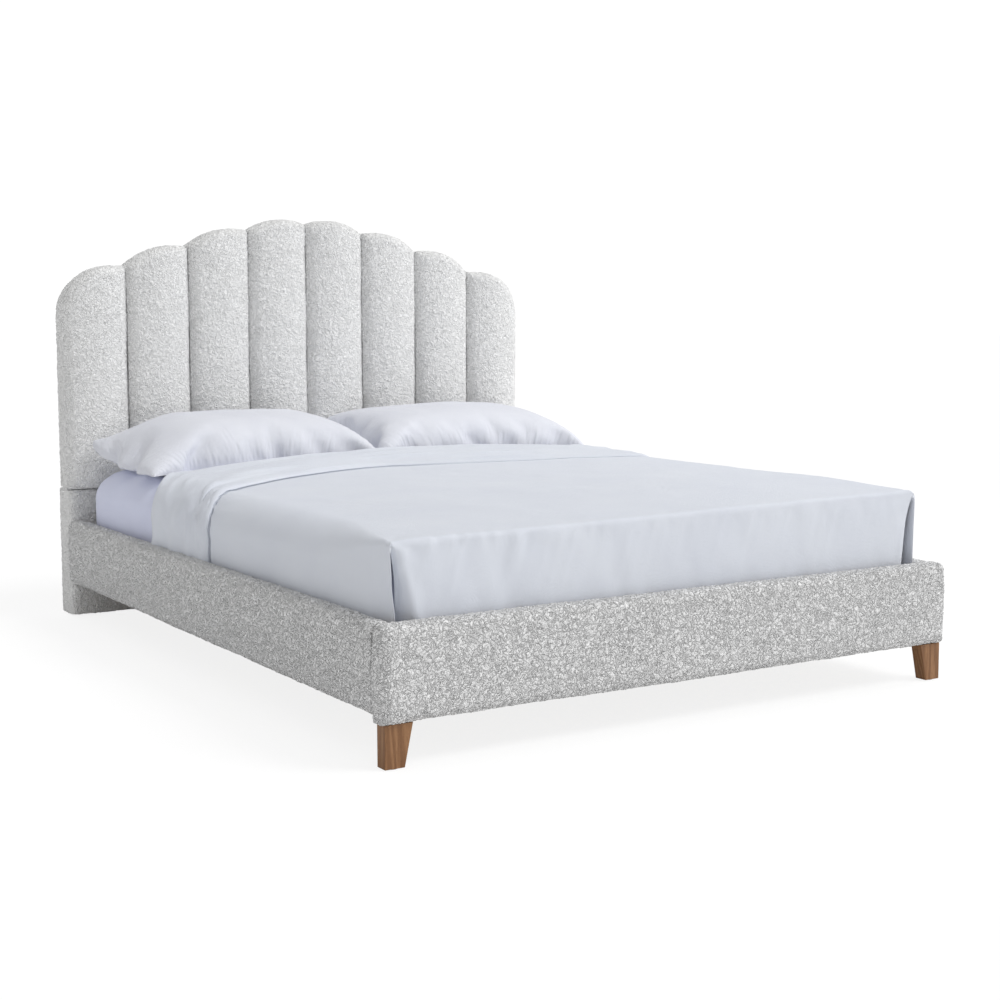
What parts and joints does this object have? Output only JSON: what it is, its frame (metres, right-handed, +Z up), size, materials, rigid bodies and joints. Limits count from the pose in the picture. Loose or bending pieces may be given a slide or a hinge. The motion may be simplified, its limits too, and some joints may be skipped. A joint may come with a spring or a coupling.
{
  "type": "upholstered bed",
  "caption": "Double bed with a scalloped, vertically channelled headboard, boucle rails, tapered wooden front feet, slatted base, mattress, duvet and pillows.",
  "frame": {"origin": "on the floor under the middle of the bed", "axes": "+Z up, +Y towards the headboard, X across the bed"},
  "size_m": [1.639, 2.22, 1.2532],
  "materials": {
    "boucle": "looped wool-look boucle, warm off-white, matt",
    "plywood": "raw plywood",
    "back_cloth": "thin spun-bonded back cloth, pale grey",
    "pine": "planed pine, unfinished",
    "slat_wood": "planed pine slats",
    "webbing": "woven polyester strap",
    "oak": "oiled mid-brown hardwood, straight grain",
    "felt": "pressed felt",
    "glide_plastic": "moulded polypropylene",
    "leveller_steel": "zinc-plated steel",
    "bracket_steel": "zinc-plated steel",
    "bolt_steel": "zinc-plated steel",
    "mattress_ticking": "knitted mattress ticking",
    "sheet_cotton": "plain woven white cotton",
    "duvet_cotton": "plain woven white cotton percale, slightly cool",
    "pillow_cotton": "plain woven white cotton"
  },
  "bodies": {
    "bed_frame": {"beam_hangers": "bracket_steel", "bracket_bolts": "bolt_steel", "centre_beam": "pine", "centre_leg_front": "pine", "centre_leg_rear": "pine", "channel_pad_1": "boucle", "channel_pad_2": "boucle", "channel_pad_3": "boucle", "channel_pad_4": "boucle", "channel_pad_5": "boucle", "channel_pad_6": "boucle", "channel_pad_7": "boucle", "channel_pad_8": "boucle", "corner_brackets": "bracket_steel", "foot_felts": "felt", "foot_hanger_bolts": "bolt_steel", "foot_left": "oak", "foot_rail_board": "pine", "foot_rail_cover": "boucle", "foot_right": "oak", "headboard_back_cloth": "back_cloth", "headboard_board": "plywood", "headboard_edge_band": "boucle", "headboard_glides": "glide_plastic", "headboard_rail_lower": "pine", "headboard_rail_upper": "pine", "headboard_stile_left": "pine", "headboard_stile_right": "pine", "lower_back_cloth": "back_cloth", "lower_panel_board": "plywood", "lower_panel_cover": "boucle", "side_rail_board_left": "pine", "side_rail_board_right": "pine", "side_rail_cover_left": "boucle", "side_rail_cover_right": "boucle", "slat_01": "slat_wood", "slat_02": "slat_wood", "slat_03": "slat_wood", "slat_04": "slat_wood", "slat_05": "slat_wood", "slat_06": "slat_wood", "slat_07": "slat_wood", "slat_08": "slat_wood", "slat_09": "slat_wood", "slat_10": "slat_wood", "slat_11": "slat_wood", "slat_12": "slat_wood", "slat_13": "slat_wood", "slat_14": "slat_wood", "slat_ledger_left": "pine", "slat_ledger_right": "pine", "slat_straps": "webbing"},
    "leveller_front": {"leveller_front": "leveller_steel"},
    "leveller_rear": {"leveller_rear": "leveller_steel"},
    "mattress": {"mattress": "mattress_ticking", "fitted_sheet": "sheet_cotton"},
    "duvet": {"duvet": "duvet_cotton"},
    "pillow_left": {"pillow_left": "pillow_cotton"},
    "pillow_right": {"pillow_right": "pillow_cotton"}
  },
  "joints": [
    {"name": "leveller_front_screw", "type": "slide", "parent": "bed_frame", "child": "leveller_front", "axis": [0, 0, 1], "range_m": [0, 0.012]},
    {"name": "leveller_rear_screw", "type": "slide", "parent": "bed_frame", "child": "leveller_rear", "axis": [0, 0, 1], "range_m": [0, 0.012]},
    {"name": "mattress_lift", "type": "slide", "parent": "bed_frame", "child": "mattress", "axis": [0, 0, 1], "range_m": [0, 0.3]},
    {"name": "duvet_lift", "type": "slide", "parent": "mattress", "child": "duvet", "axis": [0, 0, 1], "range_m": [0, 0.3]},
    {"name": "pillow_left_lift", "type": "slide", "parent": "mattress", "child": "pillow_left", "axis": [0, 0, 1], "range_m": [0, 0.25]},
    {"name": "pillow_right_lift", "type": "slide", "parent": "mattress", "child": "pillow_right", "axis": [0, 0, 1], "range_m": [0, 0.25]}
  ]
}
